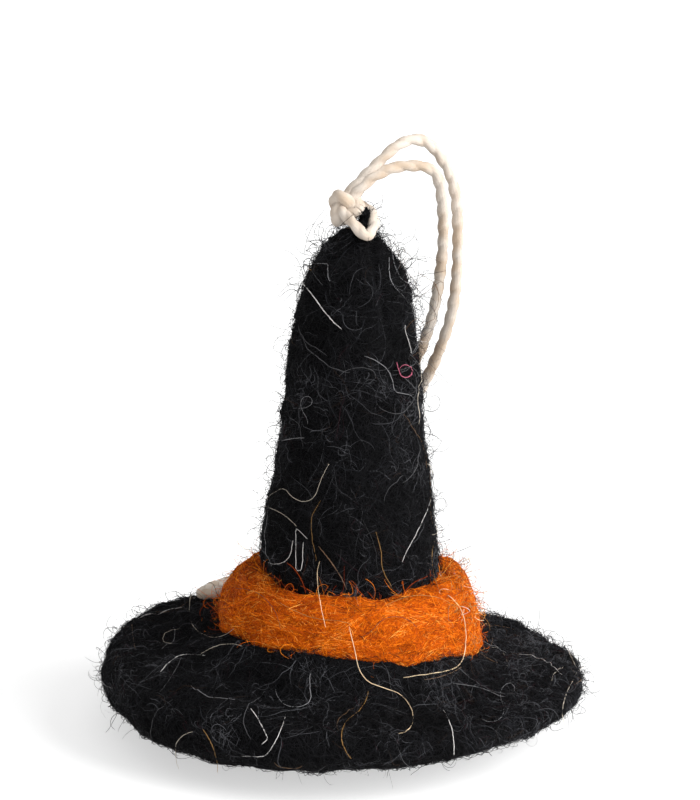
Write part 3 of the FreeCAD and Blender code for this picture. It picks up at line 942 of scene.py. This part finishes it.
# The hairs that stand out at the front. Each has a shade and a thickness, and starts at a place across
# and up, in millimetres, as the hat is seen from the photograph's side. It runs off at a heading in
# degrees, and each of its arcs is a length in millimetres and the degrees it turns by.
FRONT_HAIRS = [
    ("cream", 0.10, 13.9, 18.3, -30, [(4.5, -50), (4.5, -20), (2.5, -70), (6.5, -5)]),
    ("cream", 0.09, 0.7, 14.5, -75, [(5.0, -5), (4.3, 62), (2.0, 0), (4.0, -55), (3.3, -105)]),
    ("white", 0.11, -5.8, 60.3, -48, [(4.5, -8), (4.1, 16)]),
    ("pink", 0.08, 7.0, 49.5, -80, [(1.9, 10), (4.6, 300)]),
    ("grey", 0.07, 2.7, 50.2, -15, [(2.8, -20), (1.8, -35), (1.6, -10), (1.0, 70), (1.2, 0), (1.2, -45)]),
    ("grey", 0.08, 3.4, 65.8, 45,
     [(1.0, -30), (1.3, -40), (1.5, -60), (2.0, 5), (2.2, 20), (2.0, 45), (1.4, 15)]),
    ("grey", 0.07, -4.4, 62.5, 0, [(2.1, -4), (0.3, -85), (1.4, 0), (0.8, 35)]),
    ("dim", 0.07, -4.3, 61.6, -60, [(2.5, 10)]),
    ("white", 0.06, -6.8, 25.7, -95, [(1.7, -8), (2.5, -65), (2.0, -35), (1.2, -10)]),
    ("white", 0.06, -5.4, 25.5, -92, [(3.6, -3), (1.2, -175), (5.0, 0), (0.4, -135), (1.7, 0)]),
    ("grey", 0.06, -9.2, 38.3, 50, [(1.6, -35), (2.6, -15)]),
    ("ivory", 0.05, -10.7, 30.9, 45, [(2.7, -15), (1.2, -85), (1.6, 25), (1.9, 55), (1.6, 50), (3.9, -15)]),
    ("ivory", 0.05, -11.0, 30.1, -5, [(2.2, -18), (3.2, -25)]),
    ("grey", 0.05, -4.8, 41.2, 95, [(2.0, 30), (1.6, -60), (1.3, -100), (1.3, -110), (1.5, -40)]),
    ("white", 0.06, 12.3, 32.4, -112, [(4.7, -3), (3.5, -5), (2.4, 8)]),
    ("brown", 0.05, 10.9, 37.1, -60, [(3.2, -30), (4.4, 0), (2.8, 25)]),
    ("brown", 0.08, -3.4, 25.0, -48, [(4.0, -8), (2.9, -12)]),
    ("cream", 0.05, -3.2, 23.0, -115, [(1.9, 25), (3.0, 10), (3.8, 5)]),
    ("gold", 0.06, 12.3, 25.7, -115, [(2.5, 25), (1.9, 10), (3.1, 15)]),
    ("dark", 0.05, -14.6, 19.0, 10, [(3.0, -30), (3.4, -40), (2.6, -20)]),
    ("dark", 0.05, 2.0, 13.0, 20, [(3.0, 30), (3.4, -60), (2.6, -40)]),
    ("gold", 0.05, -8.5, 17.5, -30, [(4.0, 10), (3.4, 20), (2.6, -20)]),
    ("gold", 0.05, 5.5, 17.2, 25, [(3.0, -10), (3.4, -25), (2.6, -20)]),
    ("dim", 0.05, 18.5, 14.5, -35, [(2.4, 60), (2.0, -110), (2.2, -20), (1.5, 60)]),
    ("dim", 0.05, 19.0, 11.4, 20, [(2.2, -80), (2.4, 40), (2.2, 70)]),
    ("ivory", 0.045, 17.4, 9.8, -10, [(2.6, 40), (2.4, -90), (1.5, -40)]),
    ("brown", 0.05, 9.6, 61.4, -25, [(2.4, -5), (1.6, -50), (1.8, -20), (1.7, -45)]),
    ("dim", 0.06, 8.4, 58.9, -30, [(2.2, 5), (1.8, -30), (2.6, -25)]),
    ("grey", 0.06, 6.0, 63.3, -95, [(2.4, 10), (1.8, 35), (2.6, 15)]),
    ("white", 0.07, -24.5, 8.1, 58, [(2.4, -25), (1.9, -30), (2.4, -5)]),
    ("ivory", 0.06, -19.2, 10.4, 36, [(2.0, -12), (2.2, -20), (1.8, -20)]),
    ("ivory", 0.06, -18.1, 17.0, 105, [(5.5, 170), (2.8, 45), (2.5, 35), (3.5, 50)]),
    ("brown", 0.07, -26.9, 15.6, -80, [(1.2, 75), (1.6, 15), (2.0, 20), (1.8, 15)]),
    ("brown", 0.07, -29.5, 14.3, -75, [(3.7, 8)]),
    ("dim", 0.07, -21.8, 9.9, -110, [(1.9, -10), (3.1, -10)]),
    ("ivory", 0.06, -19.8, 1.0, 190, [(2.0, 35), (2.1, 40), (2.6, 25)]),
    ("gold", 0.07, -18.4, 1.4, -48, [(2.3, -20), (2.1, -15), (2.0, -5)]),
    ("white", 0.08, -12.2, 4.1, -48, [(1.8, -8), (2.1, -5), (0.9, -80), (0.5, 0)]),
    ("white", 0.07, -7.6, 3.3, -105, [(2.7, -10), (2.5, -10), (1.4, -50), (2.3, -10)]),
    ("grey", 0.06, -4.4, 8.4, -105, [(0.9, 15), (1.8, 10), (1.6, -75), (1.8, -30), (2.0, -45), (1.2, -35)]),
    ("ivory", 0.06, -5.0, -4.4, 25, [(1.0, -30), (1.1, -20), (1.0, 60), (1.2, 10)]),
    ("white", 0.06, 13.1, 3.6, -55, [(1.9, -15), (1.7, -15), (3.5, -10)]),
    ("grey", 0.06, 14.5, 6.8, -5,
     [(4.0, -12), (2.3, -10), (2.2, 55), (1.8, 150), (3.0, 120), (2.0, -80), (2.6, -70)]),
    ("ivory", 0.07, 32.7, 8.0, 215, [(3.2, 15), (2.7, 25), (1.4, 25), (1.4, 10)]),
    ("ivory", 0.06, 30.8, 10.0, -68, [(3.6, 8)]),
    ("dim", 0.07, 24.8, 10.9, 10, [(3.6, -5)]),
    ("gold", 0.05, 3.2, 6.1, -95, [(1.6, -25), (1.9, -30), (1.3, 15), (1.6, 40), (1.8, 30), (1.6, 15)]),
    ("brown", 0.07, 10.6, 7.4, 5, [(2.7, 8), (2.6, 15)]),
    ("brown", 0.05, 11.8, 60.3, -60, [(3.8, -10)]),
    ("brown", 0.05, 11.3, 57.6, -40, [(2.3, -50), (0.5, -60), (3.4, 0)]),
    ("dark", 0.06, 14.9, 23.7, 22, [(2.5, 0)]),
    ("dim", 0.05, -2.4, 69.8, 225, [(3.0, 15), (3.2, 20), (2.6, 15)]),
    ("dark", 0.055, 1.6, 69.8, 60, [(2.0, -60), (1.5, -120)]),
    ("dark", 0.055, -1.2, 68.6, 10, [(6.0, -20)]),
    ("dark", 0.055, 1.0, 69.6, -10, [(5.0, -8)]),
    ("dark", 0.055, 2.8, 71.0, -100, [(2.5, 40)]),
]

hat_surfaces = [
    (BVHTree.FromObject(piece, bpy.context.evaluated_depsgraph_get()), nap)
    for piece, nap in ((brim, 0.50 * MM), (crown, 0.50 * MM), (band, 0.85 * MM))
]


def drop_on_hat(across, up):
    """How far towards the camera the top of the hat's nap is at a place in the picture, or None."""
    start = Vector((across * MM, 0.0, 0.0)) + PICTURE_UP * (up * MM)
    reach = 0.1
    hits = [
        (tree.ray_cast(start + TOWARDS_CAMERA * reach, -TOWARDS_CAMERA)[3], nap)
        for tree, nap in hat_surfaces
    ]
    hits = [reach - hit + nap for hit, nap in hits if hit is not None]
    return max(hits) if hits else None


def front_hair(rng, across, up, heading, arcs):
    """The line of one hair, laid on the hat along the line of sight."""
    flat, way = [(across, up)], math.radians(heading)
    for length, bend in arcs:
        for _ in range(ARC_STEPS):
            way += math.radians(bend) / ARC_STEPS
            across += math.cos(way) * length / ARC_STEPS
            up += math.sin(way) * length / ARC_STEPS
            flat.append((across, up))
    flat = even_steps(flat, STRAY_POINTS)
    flat[1:-1] += rng.normal(0.0, 0.02, flat[1:-1].shape)
    depth = [drop_on_hat(*place) for place in flat]
    known = [i for i, d in enumerate(depth) if d is not None]
    if known:
        depth = np.interp(range(len(flat)), known, [depth[i] for i in known])
    else:
        depth = flat[:, 1] * MM * math.tan(CAMERA_ELEVATION)
    depth = np.convolve(np.pad(depth, 1, mode="edge"), [0.25, 0.5, 0.25], mode="valid")
    depth = depth + 0.12 * MM * np.sin(np.linspace(0, 7, STRAY_POINTS))
    upward, towards = np.array(PICTURE_UP), np.array(TOWARDS_CAMERA)
    line = flat[:, :1] * MM * np.array([1.0, 0.0, 0.0]) + flat[:, 1:] * MM * upward
    return line + depth[:, None] * towards


def add_front_hairs():
    rng = np.random.default_rng(201)
    lines = [front_hair(rng, *place, arcs) for _, _, *place, arcs in FRONT_HAIRS]
    thickness = np.array([hair[1] for hair in FRONT_HAIRS])
    radii = taper(len(lines), STRAY_POINTS, thickness * HAIR_RADIUS)
    shade = np.array([STRAY_INDEX[hair[0]] for hair in FRONT_HAIRS])
    add_fibres("front_hairs", np.stack(lines), radii, STRAY_FIBRES, shade)


def add_scattered_hairs(name, skin, seed, count, v_range, shares, u_range):
    """Coarse hairs of other colours that came in with the wool."""
    rng = np.random.default_rng(seed)
    length, wander, curl = (4 * MM, 11 * MM), 0.09, 0.05
    u, v = lay_on(skin, rng, count, v_range, length, any_heading, wander, curl, STRAY_POINTS, u_range)
    arch = np.sin(np.linspace(0, math.pi, STRAY_POINTS))
    lift = 0.25 * MM + 0.35 * MM * arch * rng.uniform(0, 1, (len(u), 1))
    radii = taper(len(u), STRAY_POINTS, rng.uniform(0.025, 0.05, len(u)) * MM)
    shade = rng.choice(len(shares), len(u), p=shares)
    add_fibres(name, skin.point(u, v, lift), radii, STRAY_FIBRES, shade)


# Shares of the stray shades: mostly dim hairs at the front, livelier ones at the back.
QUIET = (0.02, 0.04, 0.14, 0.50, 0.15, 0.07, 0.0, 0.08)
MIXED = (0.12, 0.16, 0.20, 0.30, 0.10, 0.07, 0.01, 0.04)
FRONT_SIDE, BACK_SIDE = (math.pi, TURN), (0.0, math.pi)
add_front_hairs()
SCATTERED = (
    (CROWN_SKIN, (0.22, 0.98), 16, 30),
    (BRIM_SKIN, (0.35, 0.90), 18, 50),
    (BAND_SKIN, (0.32, 0.80), 3, 9),
)
for seed, (skin, v_range, front, back) in enumerate(SCATTERED, start=211):
    add_scattered_hairs(f"scattered_hairs_{seed}", skin, seed, front, v_range, QUIET, FRONT_SIDE)
    add_scattered_hairs(f"scattered_hairs_{seed}_back", skin, seed + 10, back, v_range, MIXED, BACK_SIDE)

# ---------------------------------------------------------------- light and floor

FLOOR_SIZE = 6.0
FLOOR_GLOW = 0.53    # keeps the backdrop white, and its shadows light


def add_floor():
    mesh = bpy.data.meshes.new("floor")
    half = FLOOR_SIZE / 2
    corners = [(-half, -half, 0), (half, -half, 0), (half, half, 0), (-half, half, 0)]
    mesh.from_pydata(corners, [], [(0, 1, 2, 3)])
    material, nodes, links, shader = new_material("floor", (0.55, 0.55, 0.55), 0.9, 0.1)
    grain = object_noise(nodes, links, 40, 2.0)
    stops = [(0.3, (0.54, 0.54, 0.54)), (0.7, (0.56, 0.56, 0.56))]
    ramp = color_ramp(nodes, links, grain.outputs["Fac"], stops)
    links.new(ramp.outputs["Color"], shader.inputs["Base Color"])
    shader.inputs["Emission Color"].default_value = (1.0, 1.0, 1.0, 1.0)
    shader.inputs["Emission Strength"].default_value = FLOOR_GLOW
    mesh.materials.append(material)
    add_object("floor", mesh)


def add_softbox(name, bearing, elevation, spread, strength):
    """Soft light from far off. The bearing is measured from the front towards the right, in degrees."""
    data = bpy.data.lights.new(name, "SUN")
    data.angle = math.radians(spread)
    data.energy = strength
    bearing, elevation = math.radians(bearing), math.radians(elevation)
    to_lamp = Vector((
        math.sin(bearing) * math.cos(elevation),
        -math.cos(bearing) * math.cos(elevation),
        math.sin(elevation),
    ))
    lamp = add_object(name, data)
    lamp.location = AIM + to_lamp
    lamp.rotation_euler = (-to_lamp).to_track_quat("-Z", "Y").to_euler()


def add_world(strength):
    world = bpy.data.worlds.new("studio")
    world.use_nodes = True
    background = world.node_tree.nodes["Background"]
    background.inputs["Color"].default_value = (1.0, 1.0, 1.0, 1.0)
    background.inputs["Strength"].default_value = strength
    bpy.context.scene.world = world


add_floor()
add_world(0.47)
add_softbox("key", 68, 28, 45, 5.2)
add_softbox("fill", 0, 14, 40, 0.75)
add_softbox("top", 10, 75, 60, 0.6)

bpy.context.scene.view_settings.view_transform = "Standard"
